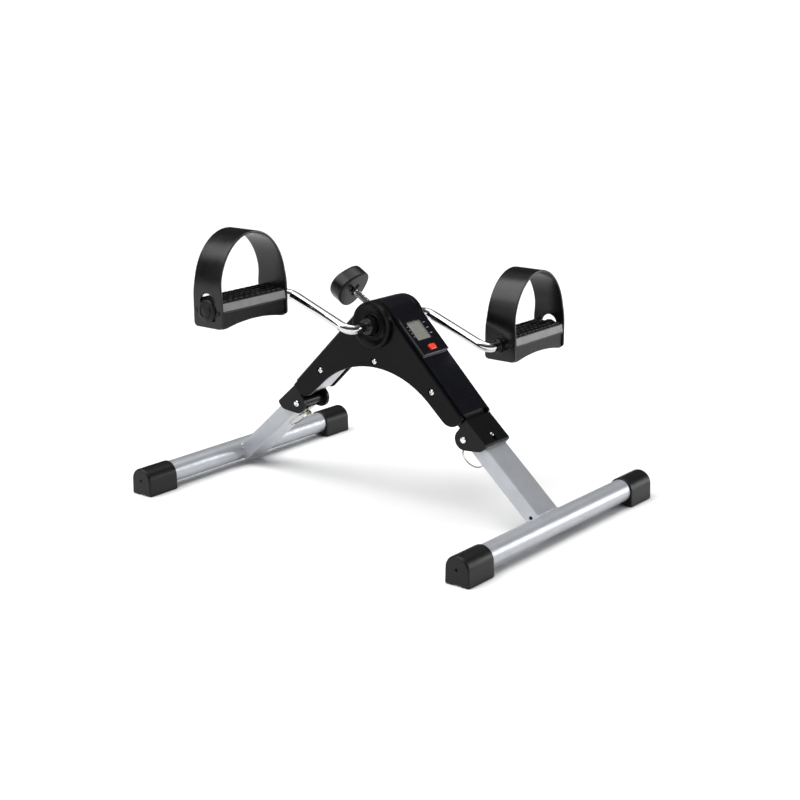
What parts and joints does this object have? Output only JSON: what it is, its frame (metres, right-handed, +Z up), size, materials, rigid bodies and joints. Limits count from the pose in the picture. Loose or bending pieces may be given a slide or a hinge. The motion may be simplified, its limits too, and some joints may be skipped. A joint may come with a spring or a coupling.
{
  "type": "pedal exerciser",
  "caption": "Folding pedal exerciser: hinged legs on cross bars carry an arch with a bent crank, strapped pedals, a tension knob and a small display.",
  "frame": {"origin": "on the floor, under the middle of the arch", "axes": "+X from the left leg to the right leg, under the display; +Y away from the viewer along the crank's axle; +Z up"},
  "size_m": [0.5288, 0.4316, 0.3489],
  "materials": {
    "silver_paint": "silver paint, low gloss",
    "gloss_cover": "moulded, glossy black",
    "satin_cover": "moulded, satin black",
    "screw_steel": "bright plated",
    "nylon": "natural nylon",
    "band_felt": "woven friction band",
    "dark_steel": "plain steel",
    "lcd": "grey-green reflective display",
    "lens": "clear window",
    "board": "circuit board",
    "red_key": "red key",
    "hinge_black": "black coated steel",
    "cap_black": "satin black moulded rubber",
    "zinc": "zinc plated",
    "chrome_rod": "polished chrome",
    "hub_black": "moulded black",
    "pedal_black": "moulded black with ribs",
    "strap_black": "flexible moulded black",
    "shoe_pad": "pressure pad",
    "knob_black": "moulded satin black"
  },
  "bodies": {
    "frame": {"arch_frame": "silver_paint", "top_cover": "gloss_cover", "near_cover": "satin_cover", "far_cover": "satin_cover", "near_cover_screw_1": "screw_steel", "near_cover_screw_2": "screw_steel", "near_cover_screw_3": "screw_steel", "far_cover_screw_1": "screw_steel", "far_cover_screw_2": "screw_steel", "far_cover_screw_3": "screw_steel", "near_axle_bush": "nylon", "far_axle_bush": "nylon", "friction_band": "band_felt", "band_anchor_pin": "dark_steel", "monitor_case": "gloss_cover", "lcd_panel": "lcd", "lcd_lens": "lens", "monitor_board": "board", "monitor_battery": "dark_steel", "right_hinge_bracket": "hinge_black", "right_hinge_pin": "screw_steel", "left_hinge_bracket": "hinge_black", "left_hinge_pin": "screw_steel"},
    "right_leg": {"right_leg_tube": "silver_paint", "right_pivot_barrel": "hinge_black", "right_foot_bar": "silver_paint", "right_near_end_cap": "cap_black", "right_far_end_cap": "cap_black", "right_lock_guide": "zinc", "right_lock_spring": "dark_steel"},
    "right_lock": {"right_lock_pin": "zinc"},
    "right_ring": {"right_pull_ring": "zinc"},
    "left_leg": {"left_leg_tube": "silver_paint", "left_pivot_barrel": "hinge_black", "left_foot_bar": "silver_paint", "left_near_end_cap": "cap_black", "left_far_end_cap": "cap_black", "left_lock_guide": "zinc", "left_lock_spring": "dark_steel"},
    "left_lock": {"left_lock_pin": "zinc"},
    "left_ring": {"left_pull_ring": "zinc"},
    "crank": {"crank_hub_sleeve": "dark_steel", "friction_wheel": "nylon", "near_crank_rod": "chrome_rod", "near_hub_spacer": "hub_black", "near_spindle_collar": "chrome_rod", "far_crank_rod": "chrome_rod", "far_hub_spacer": "hub_black", "far_spindle_collar": "chrome_rod"},
    "near_pedal": {"near_pedal_body": "pedal_black", "near_foot_strap": "strap_black", "near_spindle_cap": "pedal_black"},
    "far_pedal": {"far_pedal_body": "pedal_black", "far_foot_strap": "strap_black", "far_spindle_cap": "pedal_black"},
    "tension_carriage": {"tension_shoe": "shoe_pad"},
    "tension_hand_knob": {"tension_screw": "chrome_rod", "tension_knob": "knob_black"},
    "reset_key": {"reset_button": "red_key"}
  },
  "joints": [
    {"name": "crank_spin", "type": "hinge", "parent": "frame", "child": "crank", "pos_m": [0, 0, 0.225], "axis": [0, 1, 0], "continuous": true},
    {"name": "near_pedal_spin", "type": "hinge", "parent": "crank", "child": "near_pedal", "pos_m": [-0.09548, 0, 0.26089], "axis": [0, 1, 0], "continuous": true},
    {"name": "far_pedal_spin", "type": "hinge", "parent": "crank", "child": "far_pedal", "pos_m": [0.09548, 0, 0.18911], "axis": [0, 1, 0], "continuous": true},
    {"name": "right_leg_fold", "type": "hinge", "parent": "frame", "child": "right_leg", "pos_m": [0.1325, 0, 0.103], "axis": [0, 1, 0], "range_deg": [0, 102]},
    {"name": "right_lock_pull", "type": "slide", "parent": "right_leg", "child": "right_lock", "axis": [-0.6652, 0, -0.7466], "range_m": [0, 0.008], "stiffness_N_per_m": 600, "springref_m": -0.004, "deforming": ["right_lock_spring"]},
    {"name": "right_ring_swing", "type": "hinge", "parent": "right_lock", "child": "right_ring", "pos_m": [0.13404, 0, 0.08421], "axis": [0.6653, 0.454, -0.5927], "range_deg": [-5, 18]},
    {"name": "left_leg_fold", "type": "hinge", "parent": "frame", "child": "left_leg", "pos_m": [-0.1325, 0, 0.103], "axis": [0, -1, 0], "range_deg": [0, 102]},
    {"name": "left_lock_pull", "type": "slide", "parent": "left_leg", "child": "left_lock", "axis": [0.6652, 0, -0.7466], "range_m": [0, 0.008], "stiffness_N_per_m": 600, "springref_m": -0.004, "deforming": ["left_lock_spring"]},
    {"name": "left_ring_swing", "type": "hinge", "parent": "left_lock", "child": "left_ring", "pos_m": [-0.13404, 0, 0.08421], "axis": [0.6653, -0.454, 0.5927], "range_deg": [-5, 18]},
    {"name": "knob_travel", "type": "slide", "parent": "frame", "child": "tension_carriage", "axis": [-0.866, 0, 0.5], "range_m": [0, 0.0025]},
    {"name": "knob_turn", "type": "hinge", "parent": "tension_carriage", "child": "tension_hand_knob", "pos_m": [0, 0, 0.225], "axis": [-0.866, 0, 0.5], "range_deg": [0, 720]},
    {"name": "reset_press", "type": "slide", "parent": "frame", "child": "reset_key", "axis": [-0.7071, 0, -0.7071], "range_m": [0, 0.0012], "stiffness_N_per_m": 400, "springref_m": -0.0005}
  ],
  "couplings": [
    {"joint": "knob_turn", "follows": "knob_travel", "rad_per_m": 5000}
  ]
}
